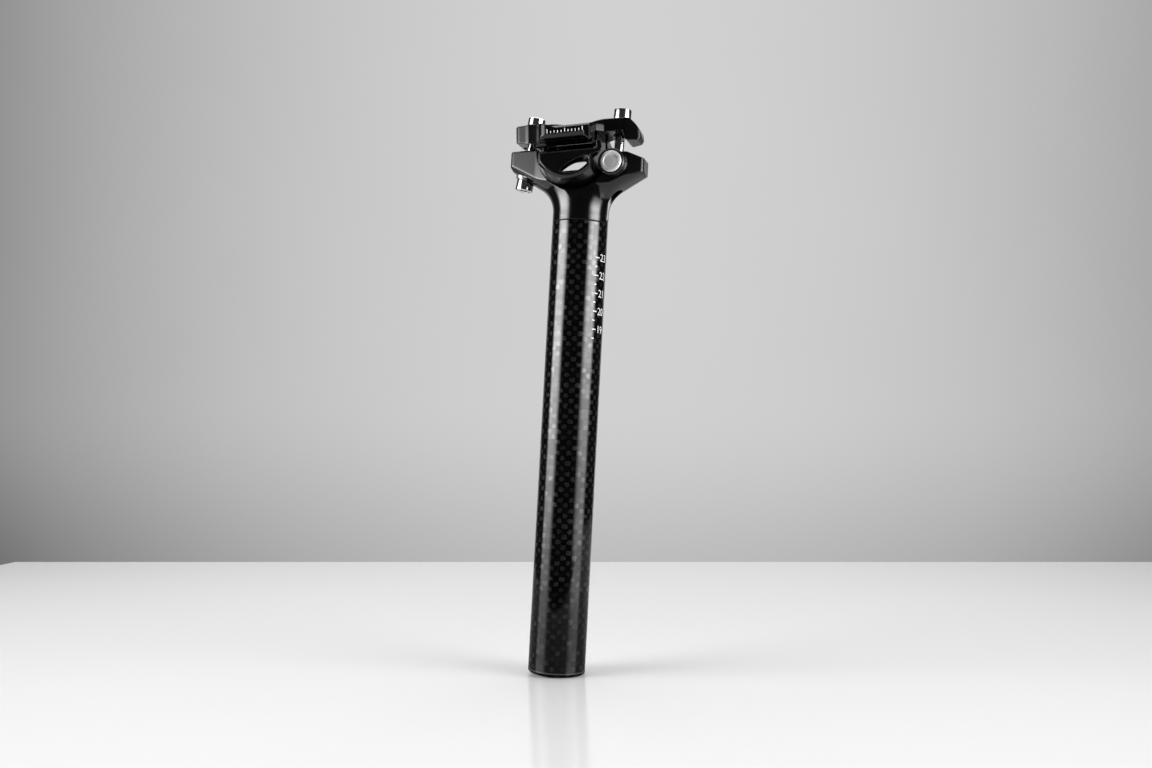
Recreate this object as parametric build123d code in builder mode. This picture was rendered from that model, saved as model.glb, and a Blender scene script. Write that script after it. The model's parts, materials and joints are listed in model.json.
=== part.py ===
"""Two-bolt carbon seatpost: woven carbon tube, bonded alloy head and tilting rail clamp.

Frame, in millimetres: the origin is on the tube's axis at its square-cut foot, +Z runs up
the post, +X points to the rear of the bicycle and -Y is the bicycle's left side.
"""

import math
import os

from build123d import *

os.makedirs("parts", exist_ok=True)

# Post tube
post_d = 31.6
tube_len = 250.0
tube_wall = 2.0
tube_foot_chamfer = 0.8
glue_line_chamfer = 0.35
bond_gap = 0.05
spigot_len = 45.0
spigot_bore_d = 19.0
post_r = post_d / 2
tube_bore_r = post_r - tube_wall

# Tilt centre of the rail clamp, above the glue line, and the clamp's angle as stored
clamp_x = -2.5
clamp_h = 40.0
clamp_tilt = 4.0
rocker_r = 21.4
rocker_gap = 0.25
lip_start = 13.8

# Head: the flare from the round neck to the two ears, with its heights set from the tilt centre
neck_h = clamp_h - 34.2
flare_r = 16.0
flare_end_deg = 59.0
flare_top = clamp_h - 2.0
flare_widen = 0.0072
front_reach = 41.0
rear_reach = 36.5
front_ear_half = 11.0
bowl_half = 16.0
rear_ear_half = 11.5
front_top = clamp_h + 0.6
rear_top = clamp_h - 1.4
rear_top_end = clamp_h - 4.1
ear_chamfer = 0.7
crease_r = 1.0
plan_blend_r = 12.0
collar_h = 0.35 * neck_h
arc_top = neck_h + flare_r * math.sin(math.radians(flare_end_deg))
through = 120.0

# Saddle rails
rail_d = 7.0
rail_gauge = 44.0
rail_gap = 0.05
rail_v = -0.6
rail_r = rail_d / 2 + rail_gap
rail_y = rail_gauge / 2

# Lower cradle, in the clamp's own directions: u along the rails, v square to them
wing_half = 27.0
wing_inner = 17.0
plate_inner = 23.5
rocker_end_r = 19.4
rocker_full_half = 16.4
rocker_edge = 1.4
window_flare = 3.0
cradle_floor = 3.2
cradle_wall = 3.2
cradle_front_u = -19.6
cradle_rear_u = 13.0
plate_front_u = -16.0
lower_wing_rear_u = 20.0
lower_inner_v = -3.4
lower_outer_v = -3.2
lower_tooth_v = -0.2
lower_tooth_u = 16.6
bar_under_v = -6.5
lip_chamfer = 1.6
pillar_half = 8.5
pillar_top_v = 9.4

# Upper clamp
upper_inner_v = 1.4
upper_outer_v = 3.4
upper_tooth_v = 1.2
upper_tooth_u = 9.6
spine_half = 9.5
spine_under_v = 9.5
spine_dip_v = 14.3
seat_v = 16.9
spine_chamfer = 0.6
wing_chamfer = 1.6
upper_wing_front_u = -18.2
upper_wing_rear_u = 13.0
sweep_half = 12.0
block_under_v = 7.4
block_end_u = -5.1
block_foot_v = 8.4
bill_start_u = 26.6
bill_under_v = 4.2

# Bolts: M6 socket cap screws on dished seats
bolt_r = 3.0
bolt_gap = 0.05
head_r = 5.0
head_len = 6.3
socket_af = 5.0
socket_depth = 3.2
bolt_chamfer = 0.5
washer_bore_r = 3.2
washer_r = 5.2
cup_bore_r = 4.2
cup_r = 5.8
cup_gap = 0.05
lower_seat_r = 7.5
lower_seat_gap = 0.12
upper_seat_r = 8.0
upper_seat_gap = 0.25
washer_rim = 1.0

# Front bolt: from its pivot under the front ear to the pivot of its nut
front_low = (-34.6, clamp_h - 18.5)
front_high = (-29.2, clamp_h + 20.5)
front_cup_top = 9.0
front_bolt_end = 40.0
front_nut_top = 40.5
front_cup_base = 29.9
ear_slot_len = 9.4
clamp_slot_len = 9.6
slot_width = 7.0

# Rear bolt: from the barrel nut's axis to the pivot of its washer
rear_low = (19.9, clamp_h - 7.7)
rear_lean = 2.9
rear_pivot_s = 31.93
rear_cup_base = 22.6
rear_bolt_end = -9.0
rear_slot_len = 8.6

# Barrel nut across the rear ear
barrel_r = 5.0
barrel_gap = 0.06
barrel_half = 13.0
bush_r = 6.0
bush_inner_half = 5.0
flange_r = 7.4
flange_start = 12.5
flange_end = 15.3
cap_r = 6.0
cap_gap = 0.15
cap_end = 15.8
boss_r = 7.7


def post_point(x, h):
    """A point of the part's mid plane, from its height above the glue line."""
    return Vector(x, 0, tube_len + h)


def lean_direction(low, high):
    """The lean, in radians, of the line from low to high, and its length."""
    dx = high[0] - low[0]
    dz = high[1] - low[1]
    return math.atan2(dx, dz), math.hypot(dx, dz)


def bolt_side_plane(origin, lean):
    """The mid plane with its local y along a bolt and its local x square to it."""
    return Plane(origin=origin, x_dir=(math.cos(lean), 0, -math.sin(lean)), z_dir=(0, -1, 0))


def bolt_end_plane(origin, lean, along):
    """The plane square to a bolt at a distance along it, with local x fore and aft."""
    direction = Vector(math.sin(lean), 0, math.cos(lean))
    return Plane(
        origin=origin + direction * along,
        x_dir=(math.cos(lean), 0, -math.sin(lean)),
        z_dir=direction,
    )


def flare(height):
    """Half lengths, fore-aft and across, of the head's oval at a height above the glue line."""
    end = math.radians(flare_end_deg)
    if height <= neck_h:
        reach = post_r
    elif height <= arc_top:
        angle = math.asin((height - neck_h) / flare_r)
        reach = post_r + flare_r * (1 - math.cos(angle))
    else:
        reach = post_r + flare_r * (1 - math.cos(end)) + (height - arc_top) * math.tan(end)
    across = post_r + flare_widen * max(0.0, height - neck_h) ** 2
    return reach, across


def dish(radius, bore, rim):
    """Depths below a ball's centre where a dished seat meets its bore and its rim."""
    return math.sqrt(radius**2 - bore**2), math.sqrt(radius**2 - rim**2)


tilt = math.radians(clamp_tilt)
clamp_centre = post_point(clamp_x, clamp_h)
clamp_along = (math.cos(tilt), 0, math.sin(tilt))
clamp_up = (-math.sin(tilt), 0, math.cos(tilt))
clamp_side = Plane(origin=clamp_centre, x_dir=clamp_along, z_dir=(0, -1, 0))
clamp_plan = Plane(origin=clamp_centre, x_dir=clamp_along, z_dir=clamp_up)
clamp_section = Plane(origin=clamp_centre, x_dir=(0, 1, 0), z_dir=clamp_along)
trough_r = rocker_r + rocker_gap

front_lean, front_pivot_s = lean_direction(front_low, front_high)
front_pivot = post_point(*front_low)
front_side = bolt_side_plane(front_pivot, front_lean)
front_axis = Axis(front_pivot, (math.sin(front_lean), 0, math.cos(front_lean)))

rear_angle = math.radians(rear_lean)
rear_pivot = post_point(*rear_low)
rear_side = bolt_side_plane(rear_pivot, rear_angle)
rear_axis = Axis(rear_pivot, (math.sin(rear_angle), 0, math.cos(rear_angle)))
barrel_axis = Axis(rear_pivot, (0, 1, 0))
barrel_section = Plane(origin=rear_pivot, x_dir=(0, 1, 0), z_dir=(1, 0, 0))


# Carbon tube
with BuildPart() as tube:
    with BuildSketch(Plane.XY):
        Circle(post_r)
        Circle(tube_bore_r, mode=Mode.SUBTRACT)
    extrude(amount=tube_len)
    foot = tube.faces().sort_by(Axis.Z)[0]
    chamfer(foot.outer_wire().edges(), tube_foot_chamfer)
    mouth = tube.faces().sort_by(Axis.Z)[-1]
    chamfer(mouth.outer_wire().edges(), glue_line_chamfer)
tube.part.label = "carbon_tube"
export_step(tube.part, "parts/carbon_tube.step")


# Head: an oval flare, trimmed to its plan, with the bowl, the barrel boss and the bolt ways
with BuildPart() as head:
    rises = [neck_h + share * (arc_top - neck_h) for share in (0.0, 0.2, 0.42, 0.63, 0.82, 1.0)]
    for height in [collar_h] + rises:
        reach, across = flare(height)
        with BuildSketch(Plane.XY.offset(tube_len + height)):
            Ellipse(reach, across)
    loft()
    for height in (arc_top, flare_top):
        reach, across = flare(height)
        with BuildSketch(Plane.XY.offset(tube_len + height)):
            Ellipse(reach, across)
    loft(ruled=True)
    with BuildSketch(Plane.XY.offset(tube_len + flare_top)):
        Ellipse(*flare(flare_top))
    extrude(amount=front_top - flare_top + 2.0)
    with BuildSketch(Plane.XY.offset(tube_len)):
        Circle(post_r)
    extrude(amount=collar_h)
    shoulder = head.faces().sort_by(Axis.Z)[0]
    chamfer(shoulder.outer_wire().edges(), glue_line_chamfer)
    with BuildSketch(Plane.XY.offset(tube_len)):
        with BuildLine():
            Polyline(
                (-front_reach, 0),
                (-front_reach, front_ear_half - 2.0),
                (-24.0, front_ear_half + 0.8),
                (-13.0, bowl_half),
                (11.5, bowl_half),
                (19.0, rear_ear_half + 1.0),
                (27.0, rear_ear_half),
                (rear_reach, 6.5),
                (rear_reach, 0),
            )
            mirror(about=Plane.XZ)
        make_face()
        fillet([v for v in vertices() if abs(v.Y) > 1 and abs(v.X) > 30], 2.5)
        fillet([v for v in vertices() if 18 < abs(v.X) < 30], plan_blend_r)
        fillet([v for v in vertices() if abs(abs(v.Y) - bowl_half) < 0.01], 6.0)
    extrude(amount=through, mode=Mode.INTERSECT)
    with BuildSketch(Plane.XZ):
        with BuildLine():
            Polyline(
                (-through, tube_len + front_top),
                (clamp_x, tube_len + front_top),
                (20.0, tube_len + rear_top),
                (28.0, tube_len + rear_top),
                (rear_reach, tube_len + rear_top_end),
                (through, tube_len + rear_top_end),
                (through, tube_len + through),
                (-through, tube_len + through),
                close=True,
            )
        make_face()
    extrude(amount=through, both=True, mode=Mode.SUBTRACT)
    with BuildSketch(Plane(origin=clamp_centre, x_dir=(0, 1, 0), z_dir=(1, 0, 0))):
        with BuildLine():
            Polyline(
                (-20, 0),
                (-20, trough_r + 20 - lip_start),
                (-lip_start, trough_r),
                (lip_start, trough_r),
                (20, trough_r + 20 - lip_start),
                (20, 0),
                close=True,
            )
        make_face()
    revolve(axis=Axis(clamp_centre, (0, 1, 0)), mode=Mode.SUBTRACT)
    with BuildSketch(Plane.XZ):
        with Locations((rear_pivot.X, rear_pivot.Z)):
            Circle(boss_r)
    extrude(amount=flange_start, both=True)
    with BuildSketch(Plane.XZ):
        with Locations((rear_pivot.X, rear_pivot.Z)):
            Circle(bush_r + bond_gap)
    extrude(amount=through, both=True, mode=Mode.SUBTRACT)
    for side in (-1, 1):
        with BuildSketch(Plane.XZ.offset(-side * flange_start)):
            with Locations((rear_pivot.X, rear_pivot.Z)):
                Circle(flange_r + cap_gap)
        extrude(amount=-side * through, mode=Mode.SUBTRACT)
    with BuildSketch(bolt_end_plane(rear_pivot, rear_angle, -30.0)):
        SlotOverall(rear_slot_len, slot_width)
    extrude(amount=60, mode=Mode.SUBTRACT)
    with BuildSketch(bolt_end_plane(front_pivot, front_lean, -12.0)):
        Circle(cup_r + bond_gap)
    extrude(amount=12.0 + front_cup_top, mode=Mode.SUBTRACT)
    with BuildSketch(bolt_end_plane(front_pivot, front_lean, front_cup_top - 1.0)):
        SlotOverall(ear_slot_len, slot_width)
    extrude(amount=30.0, mode=Mode.SUBTRACT)
    with BuildSketch(Plane.XY.offset(tube_len)):
        Circle(tube_bore_r - bond_gap)
    extrude(amount=-spigot_len)
    with BuildSketch(Plane.XY.offset(tube_len - spigot_len)):
        Circle(spigot_bore_d / 2)
    extrude(amount=spigot_len + 6.0, mode=Mode.SUBTRACT)
    front_face = head.faces().filter_by(Axis.Z).sort_by(Axis.Z)[-1]
    chamfer(front_face.outer_wire().edges().filter_by(GeomType.LINE), ear_chamfer)
    sides = [f for f in head.faces() if abs(f.normal_at().Z) < 0.02 and abs(f.center().Y) > cup_r]
    side_edges = [e for f in sides for e in f.edges()]
    skin_edges = head.faces().filter_by(GeomType.BSPLINE).edges()
    fillet([e for e in skin_edges if any(e.is_same(other) for other in side_edges)], crease_r)
head.part.label = "head"
export_step(head.part, "parts/head.step")


# Lower cradle: a barrel-shaped rocker with a rail bar and a windowed plate at each end
with BuildPart() as cradle:
    with BuildSketch(clamp_section):
        with BuildLine():
            Polyline(
                (0, 0),
                (wing_half, 0),
                (wing_half, -rocker_end_r + rocker_edge),
                (wing_half - rocker_edge, -rocker_end_r),
                (rocker_full_half, -rocker_r),
                (0, -rocker_r),
            )
            mirror(about=Plane.YZ)
        make_face()
    revolve(axis=Axis(clamp_centre, (0, 1, 0)))
    with BuildSketch(clamp_side):
        with BuildLine():
            Polyline(
                (cradle_front_u, -30),
                (cradle_front_u, lower_tooth_v),
                (cradle_rear_u, lower_tooth_v),
                (cradle_rear_u, -30),
                close=True,
            )
        make_face()
    extrude(amount=wing_half + 5, both=True, mode=Mode.INTERSECT)
    with BuildSketch(clamp_side):
        with BuildLine():
            Polyline(
                (0, lower_tooth_v),
                (0, bar_under_v),
                (cradle_rear_u - 1.0, -8.2),
                (lower_wing_rear_u - 0.5, -6.2),
                (lower_wing_rear_u, -4.4),
                (lower_wing_rear_u - 0.6, lower_tooth_v),
                close=True,
            )
        make_face()
    extrude(amount=wing_half, both=True)
    for side in (-1, 1):
        with BuildSketch(clamp_plan.offset(-30)):
            with Locations((plate_front_u - 20, side * (wing_inner + 20))):
                Rectangle(40, 40)
        extrude(amount=60, mode=Mode.SUBTRACT)
    with BuildSketch(clamp_plan.offset(-30)):
        with BuildLine():
            Polyline(
                (cradle_rear_u, 0),
                (cradle_rear_u, wing_inner + 1.5),
                (lower_wing_rear_u + 0.6, wing_half + 0.6),
                (60, wing_half + 0.6),
                (60, 0),
            )
            mirror(about=Plane.XZ)
        make_face()
    extrude(amount=60, mode=Mode.SUBTRACT)
    with BuildSketch(clamp_side):
        Circle(rocker_r - cradle_floor)
        with Locations((cradle_front_u + cradle_wall - 20, 0)):
            Rectangle(40, 80, mode=Mode.SUBTRACT)
        with Locations((cradle_rear_u - cradle_wall + 20, 0)):
            Rectangle(40, 80, mode=Mode.SUBTRACT)
    extrude(amount=wing_inner, both=True, mode=Mode.SUBTRACT)
    with BuildSketch(clamp_side):
        Circle(rocker_end_r - 2.4)
        with Locations((0, bar_under_v + 30)):
            Rectangle(80, 60, mode=Mode.SUBTRACT)
        with Locations((plate_front_u + cradle_wall - 20, 0)):
            Rectangle(40, 80, mode=Mode.SUBTRACT)
        with Locations((cradle_rear_u - cradle_wall + 20, 0)):
            Rectangle(40, 80, mode=Mode.SUBTRACT)
    extrude(amount=plate_inner, both=True, mode=Mode.SUBTRACT)
    with BuildSketch(clamp_section.offset(-40)):
        with Locations((0, lower_inner_v + 20)):
            Rectangle(2 * rail_y, 40)
        with Locations((-rail_y, rail_v), (rail_y, rail_v)):
            Circle(rail_r)
    extrude(amount=80, mode=Mode.SUBTRACT)
    with BuildSketch(clamp_section.offset(-40)):
        for side in (-1, 1):
            with BuildLine():
                Polyline(
                    (side * rail_y, lower_outer_v),
                    (side * (wing_half - 2.2), lower_outer_v),
                    (side * wing_half, lower_outer_v - lip_chamfer),
                    (side * (wing_half + 5), lower_outer_v - lip_chamfer),
                    (side * (wing_half + 5), lower_outer_v + 10),
                    (side * rail_y, lower_outer_v + 10),
                    close=True,
                )
            make_face()
    extrude(amount=40 + lower_tooth_u, mode=Mode.SUBTRACT)
    with BuildSketch(clamp_side):
        with BuildLine():
            Spline((-3.9, -15.4), (1.4, -12.0), (5.0, -10.8), (8.4, -10.3))
            Spline((8.4, -10.3), (10.4, -11.3), (9.6, -13.6))
            ThreePointArc((9.6, -13.6), (3.2, -16.5), (-3.9, -15.4))
        make_face()
    extrude(amount=40, both=True, mode=Mode.SUBTRACT)
    for side in (-1, 1):
        with BuildSketch(clamp_side.offset(side * (wing_half + 0.4))):
            with BuildLine():
                Spline((-4.5, -15.6), (1.0, -11.0), (5.0, -9.0), (11.0, -7.5))
                Spline((11.0, -7.5), (12.6, -9.2), (10.1, -13.7))
                ThreePointArc((10.1, -13.7), (3.2, -16.8), (-4.5, -15.6))
            make_face()
        with BuildSketch(clamp_side.offset(side * (wing_half - window_flare))):
            with BuildLine():
                Spline((-3.7, -15.3), (1.4, -12.1), (5.0, -10.9), (8.3, -10.4))
                Spline((8.3, -10.4), (10.2, -11.4), (9.5, -13.5))
                ThreePointArc((9.5, -13.5), (3.2, -16.3), (-3.7, -15.3))
            make_face()
        loft(ruled=True, mode=Mode.SUBTRACT)
    for start, end in (
        (cradle_front_u, cradle_front_u + cradle_wall),
        (cradle_rear_u - cradle_wall, cradle_rear_u),
    ):
        with BuildSketch(clamp_side):
            with Locations(((start + end) / 2, (pillar_top_v - 8.0) / 2)):
                Rectangle(end - start, pillar_top_v + 8.0)
        extrude(amount=pillar_half, both=True)
cradle.part.label = "lower_cradle"
export_step(cradle.part, "parts/lower_cradle.step")


# Upper clamp: a bowed spine carrying both bolts, with a rail groove under each wing
with BuildPart() as upper:
    with BuildSketch(clamp_side):
        with BuildLine():
            Polyline(
                (-34.4, block_under_v),
                (-22.8, 4.6),
                (-20.4, 4.6),
                (-20.4, spine_under_v),
                (17.0, spine_under_v),
                (bill_start_u, spine_under_v),
                (bill_start_u + 1.4, bill_under_v + 1.0),
                (bill_start_u + 2.8, bill_under_v),
                (35.0, bill_under_v),
                (36.8, bill_under_v + 1.6),
            )
            Spline(
                (36.8, bill_under_v + 1.6),
                (36.0, 10.0),
                (33.6, 13.8),
                (30.4, seat_v),
            )
            Polyline((30.4, seat_v), (18.0, seat_v))
            Spline(
                (18.0, seat_v),
                (2.0, spine_dip_v),
                (-16.0, seat_v),
                tangents=((-1, 0), (-1, 0)),
            )
            Polyline((-16.0, seat_v), (-34.8, seat_v), (-34.4, block_under_v))
        make_face()
    extrude(amount=spine_half, both=True)
    with BuildSketch(clamp_side):
        with BuildLine():
            Polyline(
                (-34.4, block_under_v),
                (-22.8, 4.6),
                (-20.4, 4.6),
                (-20.4, spine_under_v),
                (-16.0, spine_under_v),
                (-15.2, block_foot_v),
                (block_end_u, block_foot_v),
                (-26.0, seat_v),
                (-34.8, seat_v),
                close=True,
            )
        make_face()
    extrude(amount=wing_half, both=True)
    with BuildSketch(clamp_section.offset(-30)):
        with BuildLine():
            Polyline(
                (0, 14.2),
                (12.0, 13.4),
                (20.0, 11.8),
                (wing_half - wing_chamfer, 10.2),
                (wing_half, 10.2 - wing_chamfer),
                (wing_half, upper_tooth_v),
                (rail_y, upper_tooth_v),
                (rail_y, upper_inner_v),
                (wing_inner - 0.5, upper_inner_v),
                (wing_inner - 2.0, spine_under_v),
                (0, spine_under_v),
            )
            mirror(about=Plane.YZ)
        make_face()
    extrude(amount=60)
    with BuildSketch(clamp_plan):
        with BuildLine():
            Polyline(
                (-34.8, 0),
                (-34.8, sweep_half - 1.0),
                (-28.5, sweep_half),
            )
            Spline(
                (-28.5, sweep_half),
                (-23.8, sweep_half + 3.0),
                (upper_wing_front_u, rail_y - 0.4),
                (-11.0, wing_half),
                tangents=((1, 0.16), (1, 0)),
            )
            Polyline(
                (-11.0, wing_half),
                (upper_wing_rear_u, wing_half),
                (upper_wing_rear_u, 13.0),
                (17.0, 9.5),
                (29.0, 8.6),
                (36.8, 4.6),
                (36.8, 0),
            )
            mirror(about=Plane.XZ)
        make_face()
        fillet([v for v in vertices() if abs(v.X + 34.8) < 0.1 and abs(v.Y) > 5], 3.0)
        fillet([v for v in vertices() if abs(v.X - 29.0) < 0.1 and abs(v.Y) > 5], 5.0)
        fillet([v for v in vertices() if abs(v.X - 36.8) < 0.1 and abs(v.Y) > 2], 3.0)
    extrude(amount=60, both=True, mode=Mode.INTERSECT)
    lift = Vector(*clamp_up)
    crown = [f for f in upper.faces() if f.normal_at().dot(lift) > 0.6]
    walls = [f for f in upper.faces() if abs(f.normal_at().dot(lift)) < 0.2]
    wall_edges = [e for f in walls for e in f.edges()]
    rim = [e for f in crown for e in f.edges() if any(e.is_same(other) for other in wall_edges)]
    rim = [e for e in rim if (e.center() - clamp_centre).dot(lift) > spine_dip_v - 0.4]
    rim = [e for e in rim if abs(e.tangent_at(0.5).dot(lift)) < 0.1]
    chamfer(rim, spine_chamfer)
    with BuildSketch(clamp_section.offset(-40)):
        with Locations((-rail_y, rail_v), (rail_y, rail_v)):
            Circle(rail_r)
    extrude(amount=80, mode=Mode.SUBTRACT)
    with BuildSketch(clamp_section.offset(-30)):
        for side in (-1, 1):
            with BuildLine():
                Polyline(
                    (side * rail_y, upper_outer_v),
                    (side * (wing_half - 2.4), upper_outer_v),
                    (side * wing_half, upper_outer_v + 2.2),
                    (side * (wing_half + 5), upper_outer_v + 2.2),
                    (side * (wing_half + 5), upper_outer_v - 10),
                    (side * rail_y, upper_outer_v - 10),
                    close=True,
                )
            make_face()
    extrude(amount=30 + upper_tooth_u, mode=Mode.SUBTRACT)
    for side in (-1, 1):
        with BuildSketch(clamp_side.offset(side * rail_y)):
            with BuildLine():
                Polyline(
                    (upper_tooth_u - 0.2, upper_outer_v),
                    (upper_wing_rear_u - 0.8, upper_tooth_v),
                    (upper_wing_rear_u - 0.8, -9),
                    (upper_tooth_u - 0.2, -9),
                    close=True,
                )
            make_face()
        extrude(amount=side * 10, mode=Mode.SUBTRACT)
    with BuildSketch(bolt_end_plane(front_pivot, front_lean, front_cup_base)):
        Circle(cup_r + cup_gap)
    extrude(amount=20.0, mode=Mode.SUBTRACT)
    with BuildSketch(bolt_end_plane(front_pivot, front_lean, front_cup_base - 25)):
        SlotOverall(clamp_slot_len, slot_width)
    extrude(amount=30.0, mode=Mode.SUBTRACT)
    with BuildSketch(bolt_end_plane(rear_pivot, rear_angle, rear_cup_base)):
        Circle(cup_r + cup_gap)
    extrude(amount=20.0, mode=Mode.SUBTRACT)
    with BuildSketch(bolt_end_plane(rear_pivot, rear_angle, rear_cup_base - 15)):
        SlotOverall(rear_slot_len, slot_width)
    extrude(amount=20.0, mode=Mode.SUBTRACT)
upper.part.label = "upper_clamp"
export_step(upper.part, "parts/upper_clamp.step")


# Front bolt: its socket head is below the front ear
front_head_base = -1.9
front_head_top = front_head_base + head_len
with BuildPart() as front_bolt:
    with BuildSketch(front_side):
        with BuildLine():
            Polyline(
                (0, front_head_base),
                (head_r - bolt_chamfer, front_head_base),
                (head_r, front_head_base + bolt_chamfer),
                (head_r, front_head_top),
                (bolt_r, front_head_top),
                (bolt_r, front_bolt_end - bolt_chamfer),
                (bolt_r - bolt_chamfer, front_bolt_end),
                (0, front_bolt_end),
                close=True,
            )
        make_face()
    revolve(axis=front_axis)
    with BuildSketch(bolt_end_plane(front_pivot, front_lean, front_head_base)):
        RegularPolygon(socket_af / 2, 6, major_radius=False)
    extrude(amount=socket_depth, mode=Mode.SUBTRACT)
front_bolt.part.label = "front_bolt"
export_step(front_bolt.part, "parts/front_bolt.step")


# Domed washer on the front bolt's head
dome_bore, dome_rim = dish(lower_seat_r, washer_bore_r, washer_r)
dome_mid = (washer_bore_r + washer_r) / 2
with BuildPart() as front_dome:
    with BuildSketch(front_side):
        with BuildLine():
            Polyline(
                (washer_r, dome_rim),
                (washer_r, front_head_top),
                (washer_bore_r, front_head_top),
                (washer_bore_r, dome_bore),
            )
            ThreePointArc(
                (washer_bore_r, dome_bore),
                (dome_mid, math.sqrt(lower_seat_r**2 - dome_mid**2)),
                (washer_r, dome_rim),
            )
        make_face()
    revolve(axis=front_axis)
front_dome.part.label = "front_dome_washer"
export_step(front_dome.part, "parts/front_dome_washer.step")


# Cup washer let into the underside of the front ear
low_cup_r = lower_seat_r + lower_seat_gap
cup_bore_s, cup_rim_s = dish(low_cup_r, cup_bore_r, cup_r)
cup_mid = (cup_bore_r + cup_r) / 2
with BuildPart() as front_cup:
    with BuildSketch(front_side):
        with BuildLine():
            Polyline(
                (cup_r, cup_rim_s),
                (cup_r, front_cup_top),
                (cup_bore_r, front_cup_top),
                (cup_bore_r, cup_bore_s),
            )
            ThreePointArc(
                (cup_bore_r, cup_bore_s),
                (cup_mid, math.sqrt(low_cup_r**2 - cup_mid**2)),
                (cup_r, cup_rim_s),
            )
        make_face()
    revolve(axis=front_axis)
front_cup.part.label = "front_ear_cup"
export_step(front_cup.part, "parts/front_ear_cup.step")


# Round nut on top of the clamp's front end
nut_bore_r = bolt_r + bolt_gap
nut_bore_s, nut_rim_s = dish(upper_seat_r, nut_bore_r, head_r)
nut_mid = (nut_bore_r + head_r) / 2
with BuildPart() as front_nut:
    with BuildSketch(front_side):
        with BuildLine():
            Polyline(
                (head_r, front_pivot_s - nut_rim_s),
                (head_r, front_nut_top - bolt_chamfer),
                (head_r - bolt_chamfer, front_nut_top),
                (nut_bore_r, front_nut_top),
                (nut_bore_r, front_pivot_s - nut_bore_s),
            )
            ThreePointArc(
                (nut_bore_r, front_pivot_s - nut_bore_s),
                (nut_mid, front_pivot_s - math.sqrt(upper_seat_r**2 - nut_mid**2)),
                (head_r, front_pivot_s - nut_rim_s),
            )
        make_face()
    revolve(axis=front_axis)
front_nut.part.label = "front_nut"
export_step(front_nut.part, "parts/front_nut.step")


# Cup washers let into the top of the clamp, front and rear
top_cup_r = upper_seat_r + upper_seat_gap
top_bore_s, top_rim_s = dish(top_cup_r, cup_bore_r, cup_r)
top_mid_s = math.sqrt(top_cup_r**2 - cup_mid**2)
with BuildPart() as front_top_cup:
    with BuildSketch(front_side):
        with BuildLine():
            Polyline(
                (cup_r, front_pivot_s - top_rim_s),
                (cup_r, front_cup_base),
                (cup_bore_r, front_cup_base),
                (cup_bore_r, front_pivot_s - top_bore_s),
            )
            ThreePointArc(
                (cup_bore_r, front_pivot_s - top_bore_s),
                (cup_mid, front_pivot_s - top_mid_s),
                (cup_r, front_pivot_s - top_rim_s),
            )
        make_face()
    revolve(axis=front_axis)
front_top_cup.part.label = "front_clamp_cup"
export_step(front_top_cup.part, "parts/front_clamp_cup.step")

with BuildPart() as rear_top_cup:
    with BuildSketch(rear_side):
        with BuildLine():
            Polyline(
                (cup_r, rear_pivot_s - top_rim_s),
                (cup_r, rear_cup_base),
                (cup_bore_r, rear_cup_base),
                (cup_bore_r, rear_pivot_s - top_bore_s),
            )
            ThreePointArc(
                (cup_bore_r, rear_pivot_s - top_bore_s),
                (cup_mid, rear_pivot_s - top_mid_s),
                (cup_r, rear_pivot_s - top_rim_s),
            )
        make_face()
    revolve(axis=rear_axis)
rear_top_cup.part.label = "rear_clamp_cup"
export_step(rear_top_cup.part, "parts/rear_clamp_cup.step")


# Domed washer under the rear bolt's head
rear_bore_s, rear_rim_s = dish(upper_seat_r, washer_bore_r, washer_r)
rear_mid_s = math.sqrt(upper_seat_r**2 - dome_mid**2)
rear_head_base = rear_pivot_s - rear_rim_s + washer_rim
with BuildPart() as rear_dome:
    with BuildSketch(rear_side):
        with BuildLine():
            Polyline(
                (washer_r, rear_pivot_s - rear_rim_s),
                (washer_r, rear_head_base),
                (washer_bore_r, rear_head_base),
                (washer_bore_r, rear_pivot_s - rear_bore_s),
            )
            ThreePointArc(
                (washer_bore_r, rear_pivot_s - rear_bore_s),
                (dome_mid, rear_pivot_s - rear_mid_s),
                (washer_r, rear_pivot_s - rear_rim_s),
            )
        make_face()
    revolve(axis=rear_axis)
rear_dome.part.label = "rear_dome_washer"
export_step(rear_dome.part, "parts/rear_dome_washer.step")


# Rear bolt: its socket head is on top of the clamp and its thread is in the barrel nut
rear_head_top = rear_head_base + head_len
with BuildPart() as rear_bolt:
    with BuildSketch(rear_side):
        with BuildLine():
            Polyline(
                (0, rear_head_top),
                (head_r - bolt_chamfer, rear_head_top),
                (head_r, rear_head_top - bolt_chamfer),
                (head_r, rear_head_base),
                (bolt_r, rear_head_base),
                (bolt_r, rear_bolt_end + bolt_chamfer),
                (bolt_r - bolt_chamfer, rear_bolt_end),
                (0, rear_bolt_end),
                close=True,
            )
        make_face()
    revolve(axis=rear_axis)
    with BuildSketch(bolt_end_plane(rear_pivot, rear_angle, rear_head_top)):
        RegularPolygon(socket_af / 2, 6, major_radius=False)
    extrude(amount=-socket_depth, mode=Mode.SUBTRACT)
rear_bolt.part.label = "rear_bolt"
export_step(rear_bolt.part, "parts/rear_bolt.step")


# Barrel nut across the rear ear
with BuildPart() as barrel:
    with BuildSketch(Plane(origin=rear_pivot, x_dir=(1, 0, 0), z_dir=(0, -1, 0))):
        Circle(barrel_r)
    extrude(amount=barrel_half, both=True)
    with BuildSketch(bolt_end_plane(rear_pivot, rear_angle, -20.0)):
        Circle(nut_bore_r)
    extrude(amount=40.0, mode=Mode.SUBTRACT)
barrel.part.label = "rear_barrel_nut"
export_step(barrel.part, "parts/rear_barrel_nut.step")


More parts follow.
